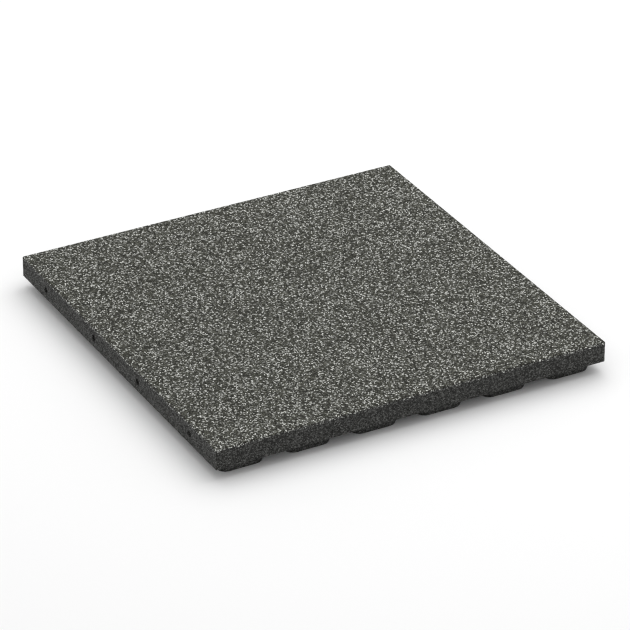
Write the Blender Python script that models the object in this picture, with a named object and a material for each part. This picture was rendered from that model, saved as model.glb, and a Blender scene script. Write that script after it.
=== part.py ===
"""Square patio tile moulded in one piece from bonded rubber granules.

A flat plate stands on square tapered feet, which leave drainage channels below it in
both directions. Two opposite sides have blind holes for the dowels that tie a tile to
its neighbours. Units are metres, +Z is up, and the origin is the centre of the square
that the feet stand on. The front is at -Y and the left side is at -X.
"""

import math

import bmesh
import bpy
from mathutils import Matrix

SIDE = 0.500
THICKNESS = 0.040
FOOT_HEIGHT = 0.014
CORNER_RADIUS = 0.001
SMALLEST_CORNER_RADIUS = 0.0002
TOP_EDGE_RADIUS = 0.002

# A foot is widest where it leaves the plate, and each of its sides leans in by the taper.
FEET_PER_ROW = 6
FOOT_PITCH = 0.08425
FOOT_INSET = 0.0065
FOOT_TAPER = 0.0055
FOOT_CORNER_RADIUS = 0.010
FOOT_ROOT = 0.004

# The holes lie in pairs either side of the middle, at these distances from it.
HOLE_DIAMETER = 0.008
HOLE_DEPTH = 0.050
HOLE_BELOW_TOP = 0.0141
HOLES_FROM_CENTRE = (0.0568, 0.185)
HOLE_CUTTER_OVERRUN = 0.010

CORNER_SEGMENTS = 4
TOP_EDGE_SEGMENTS = 3
HOLE_SEGMENTS = 16

RUBBER_COLOUR = (0.060, 0.064, 0.060, 1.0)
RUBBER_ROUGHNESS = 0.85


def clear_scene():
    for obj in list(bpy.data.objects):
        bpy.data.objects.remove(obj, do_unlink=True)


def rubber_material():
    material = bpy.data.materials.new("bonded_rubber_granules")
    material.use_nodes = True
    shader = material.node_tree.nodes["Principled BSDF"]
    shader.inputs["Base Color"].default_value = RUBBER_COLOUR
    shader.inputs["Roughness"].default_value = RUBBER_ROUGHNESS
    shader.inputs["Metallic"].default_value = 0.0
    return material


def rounded_square(half_width, radius, height):
    """Points anticlockwise round a square with arcs for corners, all at one height."""
    centre = half_width - radius
    points = []
    for corner in range(4):
        diagonal = math.radians(45 + 90 * corner)
        across = math.copysign(centre, math.cos(diagonal))
        along = math.copysign(centre, math.sin(diagonal))
        for step in range(CORNER_SEGMENTS + 1):
            angle = math.radians(90 * (corner + step / CORNER_SEGMENTS))
            x = across + radius * math.cos(angle)
            y = along + radius * math.sin(angle)
            points.append((x, y, height))
    return points


def solid_from_outlines(name, outlines):
    """A closed mesh object that runs through the outlines from the lowest to the highest."""
    mesh = bpy.data.meshes.new(name)
    shape = bmesh.new()
    rings = [[shape.verts.new(point) for point in outline] for outline in outlines]
    shape.faces.new(reversed(rings[0]))
    shape.faces.new(rings[-1])
    for lower, upper in zip(rings, rings[1:]):
        for index in range(len(lower)):
            following = (index + 1) % len(lower)
            shape.faces.new((lower[index], lower[following], upper[following], upper[index]))
    shape.to_mesh(mesh)
    shape.free()
    obj = bpy.data.objects.new(name, mesh)
    bpy.context.scene.collection.objects.link(obj)
    return obj


def make_helper(obj):
    obj.hide_render = True
    obj.display_type = "WIRE"


def add_boolean(obj, operation, other):
    boolean = obj.modifiers.new(other.name, "BOOLEAN")
    boolean.operation = operation
    boolean.solver = "EXACT"
    boolean.object = other


def add_row(obj, count, offset):
    row = obj.modifiers.new("row", "ARRAY")
    row.count = count
    row.use_relative_offset = False
    row.use_constant_offset = True
    row.constant_offset_displace = offset


def make_plate():
    """The slab that is walked on: sharp below, with a rounded edge all round its top."""
    half = SIDE / 2
    outlines = [rounded_square(half, CORNER_RADIUS, FOOT_HEIGHT)]
    for step in range(TOP_EDGE_SEGMENTS + 1):
        angle = math.radians(90 * step / TOP_EDGE_SEGMENTS)
        inset = TOP_EDGE_RADIUS * (1 - math.cos(angle))
        height = THICKNESS - TOP_EDGE_RADIUS * (1 - math.sin(angle))
        radius = max(CORNER_RADIUS - inset, SMALLEST_CORNER_RADIUS)
        outlines.append(rounded_square(half - inset, radius, height))
    return solid_from_outlines("tile", outlines)


def make_feet():
    """All the feet: one tapered foot at the front left, repeated in rows both ways.

    A foot goes on a little way into the plate, so that the two are joined as one body.
    """
    reach = FOOT_PITCH * (FEET_PER_ROW - 1) / 2
    half_at_floor = SIDE / 2 - FOOT_INSET - reach - FOOT_TAPER
    height_of_root = FOOT_HEIGHT + FOOT_ROOT
    flare = FOOT_TAPER * height_of_root / FOOT_HEIGHT
    outlines = (
        rounded_square(half_at_floor, FOOT_CORNER_RADIUS, 0.0),
        rounded_square(half_at_floor + flare, FOOT_CORNER_RADIUS + flare, height_of_root),
    )
    feet = solid_from_outlines("feet", outlines)
    feet.location = (-reach, -reach, 0.0)
    add_row(feet, FEET_PER_ROW, (FOOT_PITCH, 0.0, 0.0))
    add_row(feet, FEET_PER_ROW, (0.0, FOOT_PITCH, 0.0))
    make_helper(feet)
    return feet


def make_hole_cutters():
    """One rod for each blind dowel hole in the left and right sides."""
    length = HOLE_DEPTH + HOLE_CUTTER_OVERRUN
    height = THICKNESS - HOLE_BELOW_TOP
    upright_to_flat = Matrix.Rotation(math.radians(90), 3, "Y")
    shape = bmesh.new()
    for side in (-1, 1):
        middle = side * (SIDE / 2 + HOLE_CUTTER_OVERRUN - length / 2)
        for distance in HOLES_FROM_CENTRE:
            for y in (-distance, distance):
                rod = bmesh.ops.create_cone(
                    shape,
                    cap_ends=True,
                    segments=HOLE_SEGMENTS,
                    radius1=HOLE_DIAMETER / 2,
                    radius2=HOLE_DIAMETER / 2,
                    depth=length,
                )["verts"]
                bmesh.ops.rotate(shape, verts=rod, matrix=upright_to_flat, cent=(0.0, 0.0, 0.0))
                bmesh.ops.translate(shape, verts=rod, vec=(middle, y, height))
    mesh = bpy.data.meshes.new("dowel_holes")
    shape.to_mesh(mesh)
    shape.free()
    cutters = bpy.data.objects.new("dowel_holes", mesh)
    bpy.context.scene.collection.objects.link(cutters)
    make_helper(cutters)
    return cutters


def shade(obj):
    obj.data.shade_smooth()
    obj.data.set_sharp_from_angle(angle=math.radians(30))


clear_scene()
tile = make_plate()
tile.data.materials.append(rubber_material())
shade(tile)
add_boolean(tile, "UNION", make_feet())
add_boolean(tile, "DIFFERENCE", make_hole_cutters())
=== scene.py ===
"""A patio tile of bonded rubber granules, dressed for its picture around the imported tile."""

import math

import bpy
from mathutils import Matrix, Vector


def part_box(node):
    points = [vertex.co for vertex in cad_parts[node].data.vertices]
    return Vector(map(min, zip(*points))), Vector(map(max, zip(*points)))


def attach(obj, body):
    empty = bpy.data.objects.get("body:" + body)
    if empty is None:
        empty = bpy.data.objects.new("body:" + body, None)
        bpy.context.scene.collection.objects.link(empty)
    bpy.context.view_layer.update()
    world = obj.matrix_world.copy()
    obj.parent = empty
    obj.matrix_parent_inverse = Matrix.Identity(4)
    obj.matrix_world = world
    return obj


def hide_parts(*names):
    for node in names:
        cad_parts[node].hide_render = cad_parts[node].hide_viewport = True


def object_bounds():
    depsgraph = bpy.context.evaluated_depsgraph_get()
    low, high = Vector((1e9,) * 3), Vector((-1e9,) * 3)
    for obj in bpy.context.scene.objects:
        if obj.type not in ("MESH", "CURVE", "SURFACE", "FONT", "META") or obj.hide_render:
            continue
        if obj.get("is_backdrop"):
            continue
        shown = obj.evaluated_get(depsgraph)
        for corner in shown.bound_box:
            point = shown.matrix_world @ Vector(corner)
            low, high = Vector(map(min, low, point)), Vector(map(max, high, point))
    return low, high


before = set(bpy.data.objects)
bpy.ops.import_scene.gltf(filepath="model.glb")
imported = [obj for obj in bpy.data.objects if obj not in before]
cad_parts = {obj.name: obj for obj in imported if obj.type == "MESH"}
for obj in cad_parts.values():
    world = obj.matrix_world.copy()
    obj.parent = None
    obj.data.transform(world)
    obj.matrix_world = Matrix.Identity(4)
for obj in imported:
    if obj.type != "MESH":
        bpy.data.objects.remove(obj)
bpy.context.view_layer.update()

# The camera
# A long lens looks down on the tile's front left corner. The angles, the distance and the
# place of the top face's centre in the picture are worked out from the tile's four edges.

PICTURE_WIDTH = 630
TOP_CENTRE_PIXEL = (308.44, 297.98)
SENSOR_MM = 36.0
LENS_MM = 227.1
CAMERA_AZIMUTH = -28.61
CAMERA_ELEVATION = 29.50
CAMERA_ROLL = 0.145
CAMERA_DISTANCE = 4.618
SHARPNESS_PIXELS = 1.25

low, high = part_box("tile")
top_centre = Vector(((low.x + high.x) / 2, (low.y + high.y) / 2, high.z))
azimuth = math.radians(CAMERA_AZIMUTH)
elevation = math.radians(CAMERA_ELEVATION)
level_away = math.cos(elevation)
back = Vector(
    (math.sin(azimuth) * level_away, -math.cos(azimuth) * level_away, math.sin(elevation))
)
level_right = Vector((math.cos(azimuth), math.sin(azimuth), 0.0))
roll = Matrix.Rotation(math.radians(CAMERA_ROLL), 3, back)
picture_right = roll @ level_right
picture_up = roll @ back.cross(level_right)

camera_data = bpy.data.cameras.new("camera")
camera_data.sensor_width = SENSOR_MM
camera_data.lens = LENS_MM
camera = bpy.data.objects.new("camera", camera_data)
bpy.context.scene.collection.objects.link(camera)
metres_a_pixel = CAMERA_DISTANCE * SENSOR_MM / LENS_MM / PICTURE_WIDTH
camera.location = (
    top_centre
    + back * CAMERA_DISTANCE
    + picture_right * (PICTURE_WIDTH / 2 - TOP_CENTRE_PIXEL[0]) * metres_a_pixel
    - picture_up * (PICTURE_WIDTH / 2 - TOP_CENTRE_PIXEL[1]) * metres_a_pixel
)
camera.rotation_euler = Matrix((picture_right, picture_up, back)).transposed().to_euler()
bpy.context.scene.camera = camera

# A granule is hardly wider than a pixel here, so the picture keeps its finest grain.
bpy.context.scene.cycles.filter_width = SHARPNESS_PIXELS
bpy.context.scene.cycles.denoising_prefilter = "NONE"

# The floor
# A plain sheet of matt white paper that runs far past the picture. Its brightness is shown
# as it is, with no film look, so it comes out white where the tile doesn't shade it.

FLOOR_SIDE = 12.0
FLOOR_COLOUR = (0.90, 0.90, 0.90, 1.0)
FLOOR_ROUGHNESS = 0.7

bpy.context.scene.view_settings.view_transform = "Standard"
bpy.ops.object.select_all(action="DESELECT")
bpy.ops.mesh.primitive_plane_add(size=FLOOR_SIDE, location=(0.0, 0.0, low.z))
floor = bpy.context.object
floor.name = "floor"
bpy.ops.object.transform_apply(location=True, rotation=True, scale=True)
paper = bpy.data.materials.new("matt_white_paper")
paper.use_nodes = True
paper_shader = paper.node_tree.nodes["Principled BSDF"]
paper_shader.inputs["Base Color"].default_value = FLOOR_COLOUR
paper_shader.inputs["Roughness"].default_value = FLOOR_ROUGHNESS
floor.data.materials.append(paper)
floor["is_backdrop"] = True

# The light
# The white walls and ceiling of a light tent, even all round. A wide soft lamp hangs above,
# to the right and a little behind, and gives the tile's top more light than its sides.

TENT_COLOUR = (1.0, 1.0, 1.0, 1.0)
TENT_STRENGTH = 0.762
LAMP_DIAMETER = 2.9
LAMP_WATTS = 29.5
LAMP_PLACE = (0.65, 0.55, 2.0)

world = bpy.data.worlds.new("light_tent")
world.use_nodes = True
tent = world.node_tree.nodes["Background"]
tent.inputs["Color"].default_value = TENT_COLOUR
tent.inputs["Strength"].default_value = TENT_STRENGTH
bpy.context.scene.world = world

lamp_data = bpy.data.lights.new("soft_lamp", "AREA")
lamp_data.shape = "DISK"
lamp_data.size = LAMP_DIAMETER
lamp_data.energy = LAMP_WATTS
lamp = bpy.data.objects.new("soft_lamp", lamp_data)
lamp.location = LAMP_PLACE
lamp.rotation_euler = (-lamp.location).to_track_quat("-Z", "Y").to_euler()
bpy.context.scene.collection.objects.link(lamp)

# The tile
# Shredded rubber and binder, pressed hot in a mould as one piece: a flat plate on 36 tapered
# feet, with four blind dowel holes in its left side and four in its right. The mould leaves
# every face flush, with small dents and pits where the granules meet.

PLATE_UNDERSIDE = 0.014
TOP_EDGE_RADIUS = 0.002
TOP_EDGE_STEPS = 3
CORNER_RADIUS = 0.001
CORNER_SEGMENTS = 2
FACE_CELLS = 248
SIDE_ROWS = 12
TINY = 0.00001

side = high.x - low.x
half_side = side / 2
plate_height = high.z - PLATE_UNDERSIDE


def apply_modifiers(obj):
    bpy.ops.object.select_all(action="DESELECT")
    obj.select_set(True)
    bpy.context.view_layer.objects.active = obj
    for modifier in list(obj.modifiers):
        bpy.ops.object.modifier_apply(modifier=modifier.name)


def join_or_cut(obj, operation, other):
    """The other object becomes part of obj, or is cut out of it, and goes."""
    boolean = obj.modifiers.new(other.name, "BOOLEAN")
    boolean.operation = operation
    boolean.solver = "EXACT"
    boolean.object = other
    apply_modifiers(obj)
    bpy.data.objects.remove(other)


def select_edges(obj, wanted):
    """Selects, in edit mode, the edges whose two end points the test accepts."""
    bpy.ops.mesh.select_mode(type="EDGE")
    bpy.ops.mesh.select_all(action="DESELECT")
    bpy.ops.object.mode_set(mode="OBJECT")
    places = [vertex.co.copy() for vertex in obj.data.vertices]
    for edge in obj.data.edges:
        start, end = edge.vertices
        edge.select = wanted(places[start], places[end])
    bpy.ops.object.mode_set(mode="EDIT")


def lies_at_a_corner(place):
    beyond_the_face = abs(place.x) > half_side - TOP_EDGE_RADIUS - TINY
    return beyond_the_face and abs(abs(place.x) - abs(place.y)) < TINY


# The plate starts as the flat of its top face. The rim goes round the top edge's arc, then
# down the side in rows, and is closed underneath.
bpy.ops.object.select_all(action="DESELECT")
bpy.ops.mesh.primitive_grid_add(
    x_subdivisions=FACE_CELLS,
    y_subdivisions=FACE_CELLS,
    size=side - 2 * TOP_EDGE_RADIUS,
    location=(0.0, 0.0, high.z),
)
tile = bpy.context.object
tile.name = "granule_tile"
bpy.ops.object.transform_apply(location=True, rotation=True, scale=True)
bpy.ops.object.mode_set(mode="EDIT")
bpy.ops.mesh.select_mode(type="EDGE")
bpy.ops.mesh.select_all(action="DESELECT")
bpy.ops.mesh.select_non_manifold(use_wire=False, use_multi_face=False, use_non_contiguous=False)
half_width = half_side - TOP_EDGE_RADIUS
height = high.z
side_drop = (plate_height - TOP_EDGE_RADIUS) / SIDE_ROWS
for row in range(1, TOP_EDGE_STEPS + SIDE_ROWS + 1):
    arc = math.radians(90 * min(row / TOP_EDGE_STEPS, 1.0))
    below_arc = max(row - TOP_EDGE_STEPS, 0) * side_drop
    next_half_width = half_side - TOP_EDGE_RADIUS * (1 - math.sin(arc))
    next_height = high.z - TOP_EDGE_RADIUS * (1 - math.cos(arc)) - below_arc
    bpy.ops.mesh.extrude_edges_move(
        TRANSFORM_OT_translate={"value": (0.0, 0.0, next_height - height)}
    )
    wider = next_half_width / half_width
    bpy.ops.transform.resize(value=(wider, wider, 1.0), center_override=(0.0, 0.0, 0.0))
    half_width = next_half_width
    height = next_height
bpy.ops.mesh.edge_face_add()

# The upright edges of the corners are barely rounded.
select_edges(tile, lambda start, end: lies_at_a_corner(start) and lies_at_a_corner(end))
bpy.ops.mesh.bevel(offset=CORNER_RADIUS, segments=CORNER_SEGMENTS, affect="EDGES")
bpy.ops.mesh.select_all(action="SELECT")
bpy.ops.mesh.normals_make_consistent(inside=False)
bpy.ops.object.mode_set(mode="OBJECT")

# A foot starts as the outline of its root inside the plate, with round corners, and is inset
# downwards to the floor. Rows of it both ways are then joined to the plate.
FEET_PER_ROW = 6
FOOT_PITCH = 0.08425
FOOT_INSET = 0.0065
FOOT_TAPER = 0.0055
FOOT_CORNER_RADIUS = 0.010
FOOT_CORNER_SEGMENTS = 4
FOOT_ROOT = 0.004
FOOT_CELLS = 10
FOOT_ROWS = 3

foot_reach = FOOT_PITCH * (FEET_PER_ROW - 1) / 2
root_height = PLATE_UNDERSIDE + FOOT_ROOT
root_flare = FOOT_TAPER * root_height / PLATE_UNDERSIDE
root_half_width = half_side - FOOT_INSET - foot_reach - FOOT_TAPER + root_flare
root_corner_radius = FOOT_CORNER_RADIUS + root_flare

bpy.ops.object.select_all(action="DESELECT")
bpy.ops.mesh.primitive_plane_add(
    size=2 * root_half_width, location=(-foot_reach, -foot_reach, low.z + root_height)
)
feet = bpy.context.object
feet.name = "feet"
bpy.ops.object.transform_apply(location=True, rotation=True, scale=True)
bpy.ops.object.mode_set(mode="EDIT")
bpy.ops.mesh.select_all(action="SELECT")
bpy.ops.mesh.flip_normals()
bpy.ops.mesh.bevel(
    offset=root_corner_radius, segments=FOOT_CORNER_SEGMENTS, affect="VERTICES"
)
straight = root_half_width - root_corner_radius
select_edges(feet, lambda start, end: (end - start).length > straight)
bpy.ops.mesh.subdivide(number_cuts=FOOT_CELLS - 1)
bpy.ops.mesh.select_mode(type="FACE")
bpy.ops.mesh.select_all(action="SELECT")
for row in range(FOOT_ROWS):
    bpy.ops.mesh.inset(thickness=root_flare / FOOT_ROWS, depth=root_height / FOOT_ROWS)
select_edges(feet, lambda start, end: min(start.z, end.z) > low.z + root_height - TINY)
bpy.ops.mesh.edge_face_add()
bpy.ops.mesh.select_all(action="SELECT")
bpy.ops.mesh.normals_make_consistent(inside=False)
bpy.ops.object.mode_set(mode="OBJECT")
for offset in ((FOOT_PITCH, 0.0, 0.0), (0.0, FOOT_PITCH, 0.0)):
    repeat = feet.modifiers.new("row", "ARRAY")
    repeat.count = FEET_PER_ROW
    repeat.use_relative_offset = False
    repeat.use_constant_offset = True
    repeat.constant_offset_displace = offset
apply_modifiers(feet)
join_or_cut(tile, "UNION", feet)

# The blind dowel holes lie in pairs either side of the middle. They are cut with rods that
# stand out beyond the sides.
HOLE_DIAMETER = 0.008
HOLE_DEPTH = 0.050
HOLE_BELOW_TOP = 0.0141
HOLES_FROM_CENTRE = (0.0568, 0.185)
HOLE_CUTTER_OVERRUN = 0.010
HOLE_SEGMENTS = 24

rod_length = HOLE_DEPTH + HOLE_CUTTER_OVERRUN
rods = []
for end in (-1, 1):
    for distance in HOLES_FROM_CENTRE:
        for way in (-1, 1):
            bpy.ops.mesh.primitive_cylinder_add(
                vertices=HOLE_SEGMENTS,
                radius=HOLE_DIAMETER / 2,
                depth=rod_length,
                rotation=(0.0, math.radians(90), 0.0),
                location=(
                    end * (half_side + HOLE_CUTTER_OVERRUN - rod_length / 2),
                    way * distance,
                    high.z - HOLE_BELOW_TOP,
                ),
            )
            rods.append(bpy.context.object)
bpy.ops.object.select_all(action="DESELECT")
for rod in rods:
    rod.select_set(True)
bpy.context.view_layer.objects.active = rods[0]
bpy.ops.object.join()
rods[0].name = "dowel_holes"
join_or_cut(tile, "DIFFERENCE", rods[0])

# The relief of the pressed granules only goes inwards, so the tile keeps its size. It stops
# short of the floor and of the flat between the feet, and is shallower on the feet.
PIT_SPACING = 0.0035
PIT_DEPTH = 0.0005
UNPITTED_SHARE = 0.40
FOOT_RELIEF_SHARE = 0.6
SHARP_ANGLE = 40

plate_underside = low.z + PLATE_UNDERSIDE
plate_points = []
foot_points = []
for vertex in tile.data.vertices:
    if vertex.co.z > plate_underside + TINY:
        plate_points.append(vertex.index)
    elif low.z + TINY < vertex.co.z < plate_underside - TINY:
        foot_points.append(vertex.index)
pitted = tile.vertex_groups.new(name="pitted")
pitted.add(plate_points, 1.0, "REPLACE")
pitted.add(foot_points, FOOT_RELIEF_SHARE, "REPLACE")
pits = bpy.data.textures.new("pits", "VORONOI")
pits.noise_scale = PIT_SPACING
pits.intensity = 1.0 - UNPITTED_SHARE
pits.use_clamp = True
dents = tile.modifiers.new("dents", "DISPLACE")
dents.texture = pits
dents.texture_coords = "LOCAL"
dents.vertex_group = pitted.name
dents.mid_level = 0.0
dents.strength = -PIT_DEPTH
apply_modifiers(tile)
bpy.ops.object.shade_smooth_by_angle(angle=math.radians(SHARP_ANGLE))

# The finish is dark granules all through, with light strands in the top few millimetres.
GRANULE_SIZE = 0.0013
GRANULE_GAP = 0.12
GRANULE_DOME = 0.4
GRANULE_UNEVENNESS = 0.5
GRANULE_TONE_POWER = 2.0
BODY_DARK = (0.014, 0.014, 0.013, 1.0)
BODY_GREY = (0.155, 0.156, 0.149, 1.0)
FACE_DARK = (0.013, 0.013, 0.009, 1.0)
FACE_GREY = (0.140, 0.142, 0.110, 1.0)
# The gaps round the granules are painted near black, as painted shade between them.
GAP_SHADE_COLOUR = (0.008, 0.008, 0.006, 1.0)

STRAND_COLOUR = (0.89, 0.90, 0.85, 1.0)
STRAND_LENGTH = 0.0030
STRAND_WIDTH = 0.0012
STRAND_SPACING = 2.19
STRAND_SQUARENESS = 3.0
STRAND_EDGE = 0.5
STRAND_CORE = 0.34
STRAND_DULLEST = 0.1
STRAND_TONE_RANGE = 1.02
STRAND_TONE_POWER = 1.5
STRAND_DIRECTIONS = (8, 47, 81, 118, 160)
LAYER_SHIFT = (0.137, 0.211, 0.0)
SPECKLED_DEPTH = 0.0022
SPECKLED_RAGGEDNESS = 0.002

SMOOTHEST = 0.66
ROUGHEST = 0.90
GLOSS = 0.25
BUMP_DEPTH = 0.00035
BEND_DETAIL = 2.0
NOISE_MIDDLE = (0.5, 0.5, 0.5)

# A Mix node has sockets for each kind of value. These are the places of the colour ones.
MIX_FACTOR = 0
MIX_FIRST_COLOUR = 6
MIX_SECOND_COLOUR = 7
MIX_RESULT = 2


def add_node(tree, kind, inputs=None, **settings):
    """A new node with these settings. An input is given a value or is linked to a socket."""
    node = tree.nodes.new(kind)
    for name, value in settings.items():
        setattr(node, name, value)
    for name, value in (inputs or {}).items():
        if isinstance(value, bpy.types.NodeSocket):
            tree.links.new(value, node.inputs[name])
        else:
            node.inputs[name].default_value = value
    return node


def maths(tree, operation, *values):
    """What a Math node makes of these numbers or sockets."""
    inputs = dict(enumerate(values))
    return add_node(tree, "ShaderNodeMath", inputs, operation=operation).outputs[0]


def vector_maths(tree, operation, *values):
    """What a Vector Math node makes of these vectors or sockets."""
    inputs = dict(enumerate(values))
    return add_node(tree, "ShaderNodeVectorMath", inputs, operation=operation).outputs[0]


def eased(tree, value, start, end):
    """Goes softly from 0, where the value is at the start, to 1, where it is at the end."""
    inputs = {"Value": value, "From Min": start, "From Max": end}
    return add_node(
        tree, "ShaderNodeMapRange", inputs, interpolation_type="SMOOTHSTEP"
    ).outputs[0]


def mixed(tree, factor, first, second):
    """The first colour where the factor is 0, and the second where it is 1."""
    inputs = {MIX_FACTOR: factor, MIX_FIRST_COLOUR: first, MIX_SECOND_COLOUR: second}
    return add_node(tree, "ShaderNodeMix", inputs, data_type="RGBA").outputs[MIX_RESULT]


def bent(tree, vector, size, amount):
    """The vector, moved about by soft noise of that size."""
    scale = maths(tree, "DIVIDE", 1.0, size)
    noise = add_node(
        tree, "ShaderNodeTexNoise", {"Vector": vector, "Scale": scale, "Detail": BEND_DETAIL}
    )
    centred = vector_maths(tree, "SUBTRACT", noise.outputs["Color"], NOISE_MIDDLE)
    scaled = add_node(
        tree, "ShaderNodeVectorMath", {0: centred, "Scale": amount}, operation="SCALE"
    )
    return vector_maths(tree, "ADD", vector, scaled.outputs[0])


def new_group(name, inputs, outputs):
    """An empty shader node group, with the sockets that bring its inputs and take its outputs."""
    group = bpy.data.node_groups.new(name, "ShaderNodeTree")
    group.interface.new_socket("Vector", in_out="INPUT", socket_type="NodeSocketVector")
    for label in inputs:
        group.interface.new_socket(label, in_out="INPUT", socket_type="NodeSocketFloat")
    for label in outputs:
        group.interface.new_socket(label, in_out="OUTPUT", socket_type="NodeSocketFloat")
    given = group.nodes.new("NodeGroupInput").outputs
    wanted = group.nodes.new("NodeGroupOutput").inputs
    return group, given, wanted


# Granules pressed together: each has a tone of its own and a domed top, with a gap round it.
# Body is 0 in the gap round each granule, where the painted shade between granules goes.
granules, given, wanted = new_group(
    "pressed_granules", ("Size", "Gap"), ("Tone", "Body", "Height")
)
cells = {
    "Vector": bent(granules, given["Vector"], given["Size"], given["Size"]),
    "Scale": maths(granules, "DIVIDE", 1.0, given["Size"]),
}
granule = add_node(granules, "ShaderNodeTexVoronoi", cells)
border = add_node(granules, "ShaderNodeTexVoronoi", cells, feature="DISTANCE_TO_EDGE")
from_border = border.outputs["Distance"]
by_granule = add_node(
    granules, "ShaderNodeSeparateColor", {"Color": granule.outputs["Color"]}
).outputs
dome = eased(granules, from_border, 0.0, GRANULE_DOME)
level = maths(granules, "MULTIPLY_ADD", by_granule["Green"], GRANULE_UNEVENNESS, dome)
granules.links.new(by_granule["Red"], wanted["Tone"])
granules.links.new(eased(granules, from_border, 0.0, given["Gap"]), wanted["Body"])
granules.links.new(level, wanted["Height"])

# Light strands that lie one way among the granules, each with a tone of its own. They lie
# above the lowest height, and those near it end at heights of their own.
strands, given, wanted = new_group(
    "light_strands",
    ("Direction", "Length", "Width", "Spacing", "Lowest", "Raggedness"),
    ("Light",),
)
placed = bent(strands, given["Vector"], given["Length"], given["Width"])
along_strand = add_node(
    strands,
    "ShaderNodeVectorRotate",
    {"Vector": placed, "Angle": given["Direction"]},
    rotation_type="Z_AXIS",
)
strand_size = add_node(
    strands,
    "ShaderNodeCombineXYZ",
    {"X": given["Length"], "Y": given["Width"], "Z": given["Width"]},
)
strand = add_node(
    strands,
    "ShaderNodeTexVoronoi",
    {
        "Vector": vector_maths(
            strands, "DIVIDE", along_strand.outputs[0], strand_size.outputs[0]
        ),
        "Scale": maths(strands, "DIVIDE", 1.0, given["Spacing"]),
    },
    distance="MINKOWSKI",
)
strand.inputs["Exponent"].default_value = STRAND_SQUARENESS
from_middle = maths(strands, "MULTIPLY", strand.outputs["Distance"], given["Spacing"])
shape = eased(strands, from_middle, STRAND_EDGE, STRAND_CORE)
by_strand = add_node(
    strands, "ShaderNodeSeparateColor", {"Color": strand.outputs["Color"]}
).outputs
few_bright = maths(strands, "POWER", by_strand["Green"], STRAND_TONE_POWER)
tone = maths(strands, "MULTIPLY_ADD", few_bright, STRAND_TONE_RANGE, STRAND_DULLEST)
point_height = add_node(
    strands, "ShaderNodeSeparateXYZ", {"Vector": given["Vector"]}
).outputs["Z"]
ragged_height = maths(
    strands, "MULTIPLY_ADD", by_strand["Blue"], given["Raggedness"], point_height
)
high_enough = maths(strands, "GREATER_THAN", ragged_height, given["Lowest"])
shown = maths(strands, "MULTIPLY", high_enough, shape)
strands.links.new(maths(strands, "MULTIPLY", shown, tone), wanted["Light"])

# The material lays the strands in five directions over the dark granules, each layer moved
# along from the last. The dark granules of the top are a little yellower than the others.
rubber = bpy.data.materials.new("bonded_rubber_granules")
rubber.use_nodes = True
tree = rubber.node_tree
rubber_shader = tree.nodes["Principled BSDF"]
place = add_node(tree, "ShaderNodeTexCoord").outputs["Object"]
base = add_node(
    tree,
    "ShaderNodeGroup",
    {"Vector": place, "Size": GRANULE_SIZE, "Gap": GRANULE_GAP},
    node_tree=granules,
)
layers = []
for number, degrees in enumerate(STRAND_DIRECTIONS):
    shift = tuple(number * distance for distance in LAYER_SHIFT)
    layer = add_node(
        tree,
        "ShaderNodeGroup",
        {
            "Vector": vector_maths(tree, "ADD", place, shift),
            "Direction": math.radians(degrees),
            "Length": STRAND_LENGTH,
            "Width": STRAND_WIDTH,
            "Spacing": STRAND_SPACING,
            "Lowest": high.z - SPECKLED_DEPTH,
            "Raggedness": SPECKLED_RAGGEDNESS,
        },
        node_tree=strands,
    )
    layers.append(layer.outputs["Light"])
lightness = layers[0]
for light in layers[1:]:
    lightness = maths(tree, "MAXIMUM", lightness, light)

face_share = add_node(
    tree,
    "ShaderNodeMapRange",
    {
        "Value": add_node(tree, "ShaderNodeSeparateXYZ", {"Vector": place}).outputs["Z"],
        "From Min": high.z - SPECKLED_DEPTH,
        "From Max": high.z - SPECKLED_DEPTH + SPECKLED_RAGGEDNESS,
    },
)
greyness = maths(tree, "POWER", base.outputs["Tone"], GRANULE_TONE_POWER)
body_colour = mixed(tree, greyness, BODY_DARK, BODY_GREY)
face_colour = mixed(tree, greyness, FACE_DARK, FACE_GREY)
granule_colour = mixed(tree, face_share.outputs[0], body_colour, face_colour)
# Painted shade: the gaps round the granules are near black.
with_gap_shade = mixed(tree, base.outputs["Body"], GAP_SHADE_COLOUR, granule_colour)
with_strands = mixed(tree, lightness, with_gap_shade, STRAND_COLOUR)
roughness = add_node(
    tree,
    "ShaderNodeMapRange",
    {"Value": base.outputs["Tone"], "To Min": ROUGHEST, "To Max": SMOOTHEST},
)
relief = maths(tree, "ADD", base.outputs["Height"], lightness)
bump = add_node(
    tree, "ShaderNodeBump", {"Strength": 1.0, "Distance": BUMP_DEPTH, "Height": relief}
)
tree.links.new(with_strands, rubber_shader.inputs["Base Color"])
tree.links.new(roughness.outputs[0], rubber_shader.inputs["Roughness"])
tree.links.new(bump.outputs["Normal"], rubber_shader.inputs["Normal"])
rubber_shader.inputs["Specular IOR Level"].default_value = GLOSS

tile.data.materials.clear()
tile.data.materials.append(rubber)
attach(tile, "root")
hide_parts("tile")

low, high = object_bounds()
